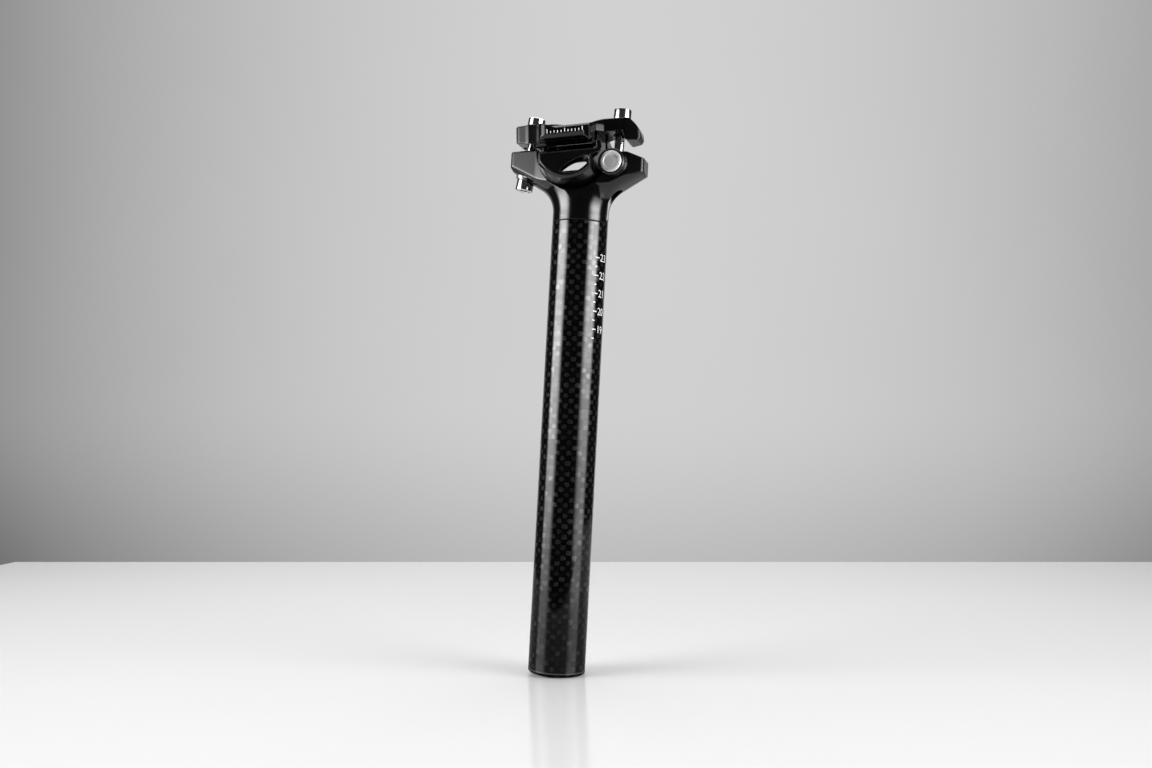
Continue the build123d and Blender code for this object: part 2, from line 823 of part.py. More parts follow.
# Bushes that carry the barrel nut, and the turned caps on its ends
for name, side in (("left", -1), ("right", 1)):
    with BuildPart() as bush:
        with BuildSketch(barrel_section):
            with BuildLine():
                Polyline(
                    (side * bush_inner_half, barrel_r + barrel_gap),
                    (side * barrel_half, barrel_r + barrel_gap),
                    (side * barrel_half, cap_r + cap_gap),
                    (side * flange_end, cap_r + cap_gap),
                    (side * flange_end, flange_r - 0.5),
                    (side * (flange_end - 0.5), flange_r),
                    (side * flange_start, flange_r),
                    (side * flange_start, bush_r),
                    (side * bush_inner_half, bush_r),
                    close=True,
                )
            make_face()
        revolve(axis=barrel_axis)
    bush.part.label = "barrel_bush_" + name
    export_step(bush.part, "parts/barrel_bush_" + name + ".step")

    with BuildPart() as cap:
        with BuildSketch(barrel_section):
            with BuildLine():
                Polyline(
                    (side * barrel_half, 0),
                    (side * barrel_half, cap_r),
                    (side * (cap_end - 0.6), cap_r),
                    (side * cap_end, cap_r - 0.6),
                    (side * cap_end, cap_r - 1.7),
                    (side * (cap_end - 0.5), cap_r - 2.0),
                    (side * (cap_end - 0.5), 0),
                    close=True,
                )
            make_face()
        revolve(axis=barrel_axis)
    cap.part.label = "barrel_cap_" + name
    export_step(cap.part, "parts/barrel_cap_" + name + ".step")
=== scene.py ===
"""Dressed scene of a carbon seatpost with a flared alloy head and a two-bolt rail clamp.

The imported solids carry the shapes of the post, the head and the clamp. This script gives each
node its finish, puts threaded socket screws in place of the two plain bolts, prints a height
scale on the tube and tilt marks on the clamp, and sets the table, the wall, the soft lights
and the camera. Lengths are in metres, in the frame of the solids.
"""

import json
import logging
import math
from dataclasses import dataclass, field
from enum import Enum
from typing import Callable, Optional, TypeVar, Union

import bmesh
import bpy
from bmesh.types import BMEdge, BMFace, BMVert
from bpy.types import Material, Node, NodeSocket, Object, World
from mathutils import Matrix, Vector


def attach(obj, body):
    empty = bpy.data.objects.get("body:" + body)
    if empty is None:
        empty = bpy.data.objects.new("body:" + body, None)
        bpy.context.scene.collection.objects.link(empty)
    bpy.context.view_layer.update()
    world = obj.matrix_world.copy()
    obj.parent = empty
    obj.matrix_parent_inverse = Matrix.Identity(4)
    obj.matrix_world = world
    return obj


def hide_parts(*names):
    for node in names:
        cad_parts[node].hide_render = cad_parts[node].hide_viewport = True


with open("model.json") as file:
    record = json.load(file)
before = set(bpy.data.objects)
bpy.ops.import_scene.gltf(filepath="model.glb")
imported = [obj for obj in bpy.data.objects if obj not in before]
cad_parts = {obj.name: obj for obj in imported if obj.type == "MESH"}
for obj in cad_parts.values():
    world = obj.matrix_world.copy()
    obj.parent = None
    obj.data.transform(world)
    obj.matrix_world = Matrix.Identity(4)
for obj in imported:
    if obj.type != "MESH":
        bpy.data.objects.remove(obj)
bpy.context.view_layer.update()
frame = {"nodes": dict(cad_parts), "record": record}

LOG = logging.getLogger("seatpost")
MM = 0.001

Colour = tuple[float, float, float, float]
Span = tuple[float, float]
Element = TypeVar("Element", BMVert, BMEdge, BMFace)


class Body(Enum):
    """The moving groups that new pieces ride on, by their names in the record."""

    POST = "post"
    CLAMP = "rail_clamp"
    FRONT_SCREW = "front_screw"
    REAR_SCREW = "rear_screw"


class Slot(Enum):
    """The record's material slots."""

    CARBON = "carbon_weave"
    ALLOY = "black_alloy"
    STEEL = "polished_steel"
    CAP = "polished_cap"
    PLAIN = "plain_steel"
    BUSH = "black_bush"


class Sum(Enum):
    """The Math node's operations that the finishes use."""

    ADD = "ADD"
    SUBTRACT = "SUBTRACT"
    MULTIPLY = "MULTIPLY"
    DIVIDE = "DIVIDE"
    SINE = "SINE"
    FLOOR = "FLOOR"
    WRAP = "FLOORED_MODULO"
    ANGLE = "ARCTAN2"
    ROOT = "SQRT"
    SMALLER = "MINIMUM"


class Part(Enum):
    """The parts of a mesh that are picked in edit mode."""

    POINT = "VERT"
    EDGE = "EDGE"
    FACE = "FACE"


def grey(level: float) -> Colour:
    """Give a neutral grey by its linear brightness."""
    return (level, level, level, 1.0)


BLACK = grey(0.0)
WHITE = grey(1.0)


class Value:
    """A number in a shader that is used like a Python number."""

    def __init__(self, graph: "Graph", socket: NodeSocket) -> None:
        """Keep the graph, and its output socket that gives the number."""
        self.graph = graph
        self.socket = socket

    def __add__(self, other: "Term") -> "Value":
        """Add a number."""
        return self.graph.maths(Sum.ADD, self, other)

    def __radd__(self, other: "Term") -> "Value":
        """Add to a number."""
        return self.graph.maths(Sum.ADD, other, self)

    def __sub__(self, other: "Term") -> "Value":
        """Take a number away."""
        return self.graph.maths(Sum.SUBTRACT, self, other)

    def __rsub__(self, other: "Term") -> "Value":
        """Take this from a number."""
        return self.graph.maths(Sum.SUBTRACT, other, self)

    def __mul__(self, other: "Term") -> "Value":
        """Multiply by a number."""
        return self.graph.maths(Sum.MULTIPLY, self, other)

    def __rmul__(self, other: "Term") -> "Value":
        """Multiply a number."""
        return self.graph.maths(Sum.MULTIPLY, other, self)

    def __truediv__(self, other: "Term") -> "Value":
        """Divide by a number."""
        return self.graph.maths(Sum.DIVIDE, self, other)

    def __mod__(self, other: "Term") -> "Value":
        """Wrap round at a number, also below nought."""
        return self.graph.maths(Sum.WRAP, self, other)

    def floor(self) -> "Value":
        """Round down to a whole number."""
        return self.graph.maths(Sum.FLOOR, self)

    def sine(self) -> "Value":
        """Take the sine."""
        return self.graph.maths(Sum.SINE, self)

    def root(self) -> "Value":
        """Take the square root."""
        return self.graph.maths(Sum.ROOT, self)


Term = Union[Value, int, float]
Feed = Union[Value, NodeSocket, int, float, tuple]


class Graph:
    """The nodes that make a material or the light of the room."""

    def __init__(self, owner: Union[Material, World]) -> None:
        """Start with no node but the output.

        Args:
            owner: The new material or world.
        """
        owner.use_nodes = True
        self.tree = owner.node_tree
        self.tree.nodes.clear()
        room = isinstance(owner, World)
        self.output = self.node("ShaderNodeOutputWorld" if room else "ShaderNodeOutputMaterial")

    def node(
        self,
        kind: str,
        settings: Optional[dict[str, object]] = None,
        inputs: Optional[dict[str, Feed]] = None,
    ) -> Node:
        """Add a node, set it and feed its sockets.

        Args:
            kind: Blender's name of the node type.
            settings: The node's own settings, set before its sockets.
            inputs: Values or links by the socket's identifier.

        Returns:
            The new node.
        """
        made = self.tree.nodes.new(kind)
        for key, setting in (settings or {}).items():
            setattr(made, key, setting)
        sockets = {socket.identifier: socket for socket in made.inputs}
        for key, feed in (inputs or {}).items():
            if isinstance(feed, Value):
                self.tree.links.new(feed.socket, sockets[key])
            elif isinstance(feed, NodeSocket):
                self.tree.links.new(feed, sockets[key])
            else:
                sockets[key].default_value = feed
        return made

    def maths(self, operation: Sum, *terms: Term) -> Value:
        """Add a Math node.

        Args:
            operation: What the node does.
            terms: The one or two numbers it works on.

        Returns:
            The result.
        """
        inputs = dict(zip(("Value", "Value_001"), terms))
        made = self.node("ShaderNodeMath", {"operation": operation.value}, inputs)
        return Value(self, made.outputs[0])

    def point(self) -> NodeSocket:
        """Give the point on the piece, in metres."""
        return self.node("ShaderNodeTexCoord").outputs["Object"]

    def split(self, vector: NodeSocket) -> tuple[Value, Value, Value]:
        """Split a vector into its three numbers."""
        made = self.node("ShaderNodeSeparateXYZ", None, {"Vector": vector})
        return tuple(Value(self, socket) for socket in made.outputs)

    def vector(self, x: Term, y: Term, z: Term) -> NodeSocket:
        """Join three numbers to a vector."""
        made = self.node("ShaderNodeCombineXYZ", None, {"X": x, "Y": y, "Z": z})
        return made.outputs[0]

    def noise(self, vector: NodeSocket, scale: float, detail: float = 2.0) -> Value:
        """Add a cloudy noise between nought and one.

        Args:
            vector: Where the noise is read.
            scale: Cells in a metre, or in a unit of the vector.
            detail: How many finer layers it has.

        Returns:
            The noise.
        """
        inputs = {"Vector": vector, "Scale": scale, "Detail": detail}
        made = self.node("ShaderNodeTexNoise", {"noise_dimensions": "3D"}, inputs)
        return Value(self, made.outputs[0])

    def step(self, value: Value, low: float, high: float) -> Value:
        """Rise smoothly from nought to one.

        Args:
            value: The number that decides.
            low: Where the rise starts.
            high: Where it ends.

        Returns:
            The risen number.
        """
        made = self.node(
            "ShaderNodeMapRange",
            {"interpolation_type": "SMOOTHSTEP"},
            {"Value": value, "From Min": low, "From Max": high},
        )
        return Value(self, made.outputs[0])

    def blend(self, share: Term, low: Feed, high: Feed) -> NodeSocket:
        """Mix two colours.

        Args:
            share: How much of the second colour.
            low: The first colour.
            high: The second colour.

        Returns:
            The mixed colour's socket.
        """
        made = self.node(
            "ShaderNodeMix",
            {"data_type": "RGBA"},
            {"Factor_Float": share, "A_Color": low, "B_Color": high},
        )
        return next(socket for socket in made.outputs if socket.identifier == "Result_Color")

    def seen(self, gloss: float = 1.0) -> Value:
        """Tell the picture's own rays, light through clear pieces and reflections from other light.

        Args:
            gloss: The share that reflections get.

        Returns:
            One for the first two, the share for reflections, nought for other light.
        """
        rays = self.node("ShaderNodeLightPath").outputs
        straight = Value(self, rays["Is Camera Ray"]) + Value(self, rays["Is Transmission Ray"])
        return self.maths(Sum.SMALLER, straight + gloss * Value(self, rays["Is Glossy Ray"]), 1.0)

    def bump(
        self, height: Value, strength: float, distance: float, normal: Optional[NodeSocket] = None
    ) -> NodeSocket:
        """Tilt the surface by a height.

        Args:
            height: The height from nought to one.
            strength: How strongly it shows.
            distance: What a height of one stands for, in metres.
            normal: The surface direction to start from.

        Returns:
            The new surface direction's socket.
        """
        inputs: dict[str, Feed] = {"Height": height, "Strength": strength, "Distance": distance}
        if normal is not None:
            inputs["Normal"] = normal
        return self.node("ShaderNodeBump", None, inputs).outputs[0]

    def soft_edge(self, radius: float) -> NodeSocket:
        """Give the surface direction with its sharp edges rounded by a radius in metres."""
        return self.node("ShaderNodeBevel", {"samples": 6}, {"Radius": radius}).outputs[0]

    def surface(self, inputs: dict[str, Feed]) -> None:
        """Close the material with the standard surface shader, fed by socket names."""
        self.close(self.node("ShaderNodeBsdfPrincipled", None, inputs))

    def glow(self, share: Value, strength: float = 1.0) -> None:
        """Close the material as a white light.

        Args:
            share: The light's share of its strength, from nought to one.
            strength: The strength.
        """
        colour = self.blend(share, BLACK, WHITE)
        inputs = {"Color": colour, "Strength": strength}
        self.close(self.node("ShaderNodeEmission", None, inputs))

    def close(self, shader: Node) -> None:
        """Link a shader's node to the output."""
        self.tree.links.new(shader.outputs[0], self.output.inputs["Surface"])


@dataclass(frozen=True)
class WovenCarbon:
    """Plain-weave carbon cloth under a thick gloss coat, laid round the tube."""

    columns: int = 32
    row: float = 2.85 * MM
    dark: Colour = (0.0003, 0.0003, 0.00035, 1.0)
    bright: Colour = (0.030, 0.0303, 0.0318, 1.0)
    # The painted highlight's colour, for the thin line above the foot's painted shade.
    rim: Colour = (0.05, 0.05, 0.052, 1.0)
    # How far the tows wander, in tows, and the cells of that noise in a metre.
    sway: float = 0.7
    sway_cells: float = 400.0
    slip: float = 0.5
    slip_cells: float = 520.0
    # Noise cells of the strands across a tow and along it, and the shift between the two ways.
    strands: float = 34.0
    strand_run: float = 3.0
    strand_shift: float = 9.0
    # The part of a tow's crown over which its light rises, and the share of a tow that dips under.
    crown: Span = (0.15, 0.85)
    dip: float = 0.04
    # Some tows catch more light: the noise's steps from tow to tow, its edges and its unevenness.
    patch_step: Span = (3.7, 2.9)
    patch_edge: Span = (0.3, 0.7)
    patch_cells: float = 130.0
    # The least light of a strand and of a patch, and what the noise adds.
    strand_light: Span = (0.45, 0.9)
    patch_light: Span = (0.2, 1.5)
    # Heights over which the tube turns darker and less glossy towards the foot, in the weave's
    # light and its coat, and the share of both left there.
    foot_darkening: Span = (10.0 * MM, 95.0 * MM)
    foot_darkening_least: float = 0.42
    # Heights over which the foot's painted shade ends, a band with no coat and no metal that stands
    # in for the shadow under the foot, and the thin painted highlight line above it.
    foot_shade_end: Span = (1.3 * MM, 1.5 * MM)
    line: Span = (1.9 * MM, 2.1 * MM)
    rough: float = 0.44
    rough_over: float = 0.10
    rough_strand: float = 0.08
    coat_least: float = 0.74
    relief: float = 0.35
    relief_height: float = 0.10 * MM
    relief_strand: float = 0.25

    def build(self) -> Material:
        """Make the material.

        Returns:
            The material.
        """
        material = bpy.data.materials.new("woven_carbon")
        graph = Graph(material)
        point = graph.point()
        x, y, z = graph.split(point)
        sway = 0.5 - graph.noise(point, self.sway_cells, 1.0)
        slip = 0.5 - graph.noise(point, self.slip_cells, 1.0)
        across = graph.maths(Sum.ANGLE, y, x) * (self.columns / math.tau) + self.sway * sway
        along = z / self.row + self.slip * slip
        over = (across.floor() + along.floor()) % 2.0
        crown_across = ((across % 1.0) * math.pi).sine()
        crown_along = ((along % 1.0) * math.pi).sine()
        pillow = (crown_across * crown_along).root()
        swap = self.strands - self.strand_run
        run = graph.vector(
            across * (self.strands - swap * over),
            along * (self.strand_run + swap * over),
            over * self.strand_shift,
        )
        strand = graph.noise(run, 1.0)
        step_across, step_along = self.patch_step
        tows = graph.vector(across.floor() * step_across, along.floor() * step_along, over)
        patch = graph.step(graph.noise(tows, 1.0, 0.0), *self.patch_edge)
        uneven = graph.noise(point, self.patch_cells, 1.0)
        crown = graph.step(pillow, *self.crown)
        tow = over * crown + (1.0 - over) * self.dip * crown
        # Darker and less glossy towards the foot: this share scales the weave's light and the coat.
        gloss = self.foot_darkening_least + (1.0 - self.foot_darkening_least) * graph.step(z, *self.foot_darkening)
        strand_least, strand_gain = self.strand_light
        patch_least, patch_gain = self.patch_light
        by_strand = strand_least + strand_gain * strand
        by_patch = patch_least + patch_gain * patch * uneven
        lit = tow * by_strand * by_patch * gloss
        # Painted shade: below this height the coat and metal are taken off, so the foot's band
        # reads dark.
        foot_shade_end = graph.step(z, *self.foot_shade_end)
        # Painted highlight: a thin lighter line in the base colour over the shaded band.
        line = foot_shade_end * (1.0 - graph.step(z, *self.line))
        weave = graph.blend(lit, self.dark, self.bright)
        coat = self.coat_least + (1.0 - self.coat_least) * patch * (0.5 + strand)
        height = pillow + self.relief_strand * strand
        graph.surface(
            {
                "Base Color": graph.blend(line, weave, self.rim),
                "Metallic": lit * foot_shade_end,
                "Roughness": self.rough - self.rough_over * over + self.rough_strand * strand,
                "IOR": 1.03,
                "Coat Weight": coat * gloss * foot_shade_end,
                "Coat Roughness": 0.07,
                "Coat IOR": 1.45,
                "Normal": graph.bump(height, self.relief, self.relief_height),
            }
        )
        return material


@dataclass(frozen=True)
class GrainedFinish:
    """A finish with slow clouds in its colour and a fine grain in its gloss.

    Each noise is given by its cells in a metre and its finer layers. With no edge radius the
    piece's edges look as sharp as they are.
    """

    name: str
    dark: Colour
    pale: Colour
    cloud: Span
    grain: Span
    rough: float
    rough_cloud: float = 0.0
    rough_grain: float = 0.0
    metal: float = 0.0
    ior: float = 1.5
    relief: float = 0.05
    relief_height: float = 0.01 * MM
    edge: float = 0.0

    def build(self) -> Material:
        """Make the material.

        Returns:
            The material.
        """
        material = bpy.data.materials.new(self.name)
        graph = Graph(material)
        point = graph.point()
        cloud = graph.noise(point, *self.cloud)
        grain = graph.noise(point, *self.grain)
        facing = graph.soft_edge(self.edge) if self.edge else None
        graph.surface(
            {
                "Base Color": graph.blend(cloud, self.dark, self.pale),
                "Metallic": self.metal,
                "Roughness": self.rough + self.rough_cloud * cloud + self.rough_grain * grain,
                "IOR": self.ior,
                "Normal": graph.bump(grain, self.relief, self.relief_height, facing),
            }
        )
        return material


@dataclass(frozen=True)
class BlackAnodised(GrainedFinish):
    """Polished alloy under a black anodised skin."""

    name: str = "black_anodised"
    dark: Colour = (0.0008, 0.0008, 0.0009, 1.0)
    pale: Colour = (0.0024, 0.0024, 0.0026, 1.0)
    cloud: Span = (90.0, 3.0)
    grain: Span = (5200.0, 1.0)
    rough: float = 0.105
    rough_cloud: float = 0.04
    rough_grain: float = 0.02
    ior: float = 1.45
    edge: float = 1.2 * MM


@dataclass(frozen=True)
class BrightSteel(GrainedFinish):
    """Polished screw steel with faint marks."""

    name: str = "bright_steel"
    dark: Colour = (0.55, 0.55, 0.56, 1.0)
    pale: Colour = (0.70, 0.70, 0.71, 1.0)
    cloud: Span = (420.0, 3.0)
    grain: Span = (4200.0, 2.0)
    rough: float = 0.07
    rough_cloud: float = 0.07
    rough_grain: float = 0.05
    metal: float = 1.0


@dataclass(frozen=True)
class PlainSteel(GrainedFinish):
    """Tumbled washer steel with an even fine grain."""

    name: str = "plain_steel"
    dark: Colour = (0.36, 0.36, 0.37, 1.0)
    pale: Colour = (0.52, 0.52, 0.53, 1.0)
    cloud: Span = (700.0, 3.0)
    grain: Span = (6000.0, 1.0)
    rough: float = 0.22
    rough_cloud: float = 0.10
    rough_grain: float = 0.06
    metal: float = 1.0
    relief: float = 0.06


@dataclass(frozen=True)
class SatinBush(GrainedFinish):
    """Satin black bearing plastic with a fine moulded grain."""

    name: str = "satin_bush"
    dark: Colour = (0.0060, 0.0060, 0.0064, 1.0)
    pale: Colour = (0.016, 0.016, 0.017, 1.0)
    cloud: Span = (300.0, 3.0)
    grain: Span = (3600.0, 1.0)
    rough: float = 0.24
    rough_grain: float = 0.10
    relief: float = 0.10
    relief_height: float = 0.02 * MM
    edge: float = 0.2 * MM


@dataclass(frozen=True)
class WhitePrint(GrainedFinish):
    """Screen-printed white ink with a slightly uneven film."""

    name: str = "white_print"
    dark: Colour = (0.62, 0.62, 0.62, 1.0)
    pale: Colour = (0.80, 0.80, 0.79, 1.0)
    cloud: Span = (2600.0, 2.0)
    grain: Span = (2600.0, 2.0)
    rough: float = 0.30
    rough_cloud: float = 0.15
    relief: float = 0.08


@dataclass(frozen=True)
class TurnedFace:
    """Bright metal turned on a lathe, with fine rings about an axis along Y."""

    axis_x: float
    axis_z: float
    dull: Colour = grey(0.70)
    base: Colour = grey(0.86)
    ring: float = 0.22 * MM
    tremble: float = 0.35
    tremble_cells: float = 900.0
    metal: float = 0.45
    rough: float = 0.46
    rough_ring: float = 0.10
    rough_tremble: float = 0.06
    relief: float = 0.22
    relief_height: float = 0.02 * MM

    def build(self) -> Material:
        """Make the material.

        Returns:
            The material.
        """
        material = bpy.data.materials.new("turned_cap")
        graph = Graph(material)
        point = graph.point()
        x, _, z = graph.split(point)
        out_x = x - self.axis_x
        out_z = z - self.axis_z
        radius = (out_x * out_x + out_z * out_z).root()
        tremble = graph.noise(point, self.tremble_cells)
        turns = radius / self.ring + self.tremble * tremble
        ring = (turns * math.tau).sine() * 0.5 + 0.5
        graph.surface(
            {
                "Base Color": graph.blend(ring * 0.5 + tremble * 0.5, self.dull, self.base),
                "Metallic": self.metal,
                "Roughness": self.rough + self.rough_ring * ring + self.rough_tremble * tremble,
                "Normal": graph.bump(ring, self.relief, self.relief_height),
            }
        )
        return material


@dataclass(frozen=True)
class GlossTable:
    """White lacquered table top."""

    base: Colour = (0.84, 0.84, 0.845, 1.0)
    pale: Colour = (0.87, 0.87, 0.87, 1.0)
    cells: float = 3.0
    rough: float = 0.11
    rough_cloud: float = 0.03

    def build(self) -> Material:
        """Make the material.

        Returns:
            The material.
        """
        material = bpy.data.materials.new("gloss_table")
        graph = Graph(material)
        cloud = graph.noise(graph.point(), self.cells)
        graph.surface(
            {
                "Base Color": graph.blend(cloud, self.base, self.pale),
                "Roughness": self.rough + self.rough_cloud * cloud,
                "IOR": 1.42,
            }
        )
        return material


@dataclass(frozen=True)
class StudioWall:
    """Grey wall with painted light: lightest behind the post, falling off to its edges and dropping
    low down.
    """

    bright: float = 0.635
    bright_x: float = 0.12
    fall_x: float = 0.175
    low: Span = (-0.42, 0.10)
    low_drop: float = 0.17
    mottle: float = 0.03
    mottle_cells: float = 1.6
    unseen: float = 0.5

    def build(self) -> Material:
        """Make the material: the picture and reflections see the grey, other light sees less.

        Returns:
            The material.
        """
        material = bpy.data.materials.new("studio_wall")
        graph = Graph(material)
        point = graph.point()
        x, y, _ = graph.split(point)
        side = x - self.bright_x
        cloud = graph.noise(point, self.mottle_cells)
        low = 1.0 - graph.step(y, *self.low)
        # Painted light on the wall: brightest behind the post, falling off to the sides and
        # dropping along the lower part.
        level = self.bright - self.fall_x * side * side - self.low_drop * low
        level = level + self.mottle * (cloud - 0.5)
        graph.glow(level * (self.unseen + (1.0 - self.unseen) * graph.seen()))
        return material


@dataclass(frozen=True)
class SoftboxGlow:
    """Cloth front of a soft light, brighter towards its top, dark at its back.

    From the strength at its foot it rises to its top strength, fades to the strength that
    rests above, and ends. Its sides are soft over their own widths.
    """

    name: str
    across: Span
    soft: Span
    foot: float
    top: float
    rise: Span = (-0.06, 0.44)
    fade: Span = (0.46, 0.58)
    rest: float = 4.3
    end: Span = (0.85, 1.05)

    def build(self) -> Material:
        """Make the material.

        Returns:
            The material.
        """
        material = bpy.data.materials.new(self.name)
        graph = Graph(material)
        x, y, _ = graph.split(graph.point())
        low, high = self.across
        level = self.foot + (self.top - self.foot) * graph.step(y, *self.rise)
        level = level - (self.top - self.rest) * graph.step(y, *self.fade)
        level = level * (1.0 - graph.step(y, *self.end))
        level = level * graph.step(x, low, low + self.soft[0])
        level = level * (1.0 - graph.step(x, high - self.soft[1], high))
        back = Value(graph, graph.node("ShaderNodeNewGeometry").outputs["Backfacing"])
        graph.glow(level * (1.0 - back) / self.top, self.top)
        return material


def only(piece: Object) -> None:
    """Select one object and make it active.

    Args:
        piece: The object.
    """
    bpy.ops.object.select_all(action="DESELECT")
    piece.select_set(True)
    bpy.context.view_layer.objects.active = piece


def primitive(name: str, add: Callable[..., set[str]], **options: object) -> Object:
    """Add a primitive alone, with its place in its mesh.

    Args:
        name: The new object's name.
        add: The operator that adds it.
        options: The operator's settings.

    Returns:
        The object, selected and active.
    """
    bpy.ops.object.select_all(action="DESELECT")
    add(**options)
    bpy.ops.object.transform_apply(location=True, rotation=True, scale=True)
    made = bpy.context.view_layer.objects.active
    made.name = name
    made.data.name = name
    return made


def edit(on: bool) -> None:
    """Enter edit mode or leave it."""
    bpy.ops.object.mode_set(mode="EDIT" if on else "OBJECT")


def pick_all() -> None:
    """Select the whole mesh, in edit mode."""
    bpy.ops.mesh.select_all(action="SELECT")


def pick(piece: Object, kind: Part, wanted: Callable[[Element], bool]) -> None:
    """Select, in edit mode, the parts of a mesh that pass a test.

    Args:
        piece: The object in edit mode.
        kind: Points, edges or faces.
        wanted: The test on a part.
    """
    bpy.ops.mesh.select_mode(type=kind.value)
    bpy.ops.mesh.select_all(action="DESELECT")
    mesh = bmesh.from_edit_mesh(piece.data)
    parts = {Part.POINT: mesh.verts, Part.EDGE: mesh.edges, Part.FACE: mesh.faces}[kind]
    for part in parts:
        part.select_set(wanted(part))
    mesh.select_flush_mode()
    bmesh.update_edit_mesh(piece.data)


def move_point(piece: Object, index: int, goal: Vector) -> None:
    """Move one point of a mesh, in edit mode.

    Args:
        piece: The object in edit mode.
        index: The point's number.
        goal: Where it goes.
    """
    pick(piece, Part.POINT, lambda vertex: vertex.index == index)
    mesh = bmesh.from_edit_mesh(piece.data)
    mesh.verts.ensure_lookup_table()
    bpy.ops.transform.translate(value=goal - mesh.verts[index].co)


def clean(piece: Object) -> None:
    """Merge doubles, drop loose points and turn all faces outwards.

    Args:
        piece: The object, in object mode.
    """
    only(piece)
    edit(True)
    bpy.ops.mesh.select_mode(type="VERT")
    pick_all()
    bpy.ops.mesh.remove_doubles(threshold=0.002 * MM)
    bpy.ops.mesh.delete_loose(use_verts=True, use_edges=True, use_faces=False)
    pick_all()
    bpy.ops.mesh.normals_make_consistent(inside=False)
    edit(False)


def shape(piece: Object, kind: str, **settings: object) -> None:
    """Put a modifier on an object and apply it.

    Args:
        piece: The object, in object mode.
        kind: Blender's name of the modifier type.
        settings: The modifier's settings.
    """
    only(piece)
    modifier = piece.modifiers.new("shape", kind)
    for key, setting in settings.items():
        setattr(modifier, key, setting)
    bpy.ops.object.modifier_apply(modifier=modifier.name)


def cut(piece: Object, tool: Object) -> None:
    """Cut one object with another, and remove the tool.

    Args:
        piece: The object that is cut.
        tool: The closed shape that is taken away.
    """
    shape(piece, "BOOLEAN", operation="DIFFERENCE", solver="EXACT", object=tool)
    only(tool)
    bpy.ops.object.delete()


def join(piece: Object, *others: Object) -> Object:
    """Join objects into the first of them.

    Args:
        piece: The object that stays.
        others: The objects that go into it.

    Returns:
        The joined object.
    """
    only(piece)
    for other in others:
        other.select_set(True)
    bpy.ops.object.join()
    return piece


def settle(piece: Object, place: Matrix) -> None:
    """Put an object in its place, with the place in its mesh.

    Args:
        piece: The object, modelled about the origin.
        place: Where it goes.
    """
    piece.matrix_world = place @ piece.matrix_world
    only(piece)
    bpy.ops.object.transform_apply(location=True, rotation=True, scale=True)


def dress(piece: Object, finish: Material) -> None:
    """Give an object one material.

    Args:
        piece: The object.
        finish: The material.
    """
    if not piece.material_slots:
        piece.data.materials.append(finish)
    for slot in piece.material_slots:
        slot.material = finish


def hold(piece: Object, body: Body) -> None:
    """Tie a finished piece to its body, and report it.

    Args:
        piece: The piece.
        body: The body that it rides on.
    """
    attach(piece, body.value)
    LOG.info("piece %s: %d faces, on %s", piece.name, len(piece.data.polygons), body.value)


def draw_down(length: float) -> None:
    """Extrude the picked faces downwards."""
    bpy.ops.mesh.extrude_region_move(TRANSFORM_OT_translate={"value": (0.0, 0.0, -length)})


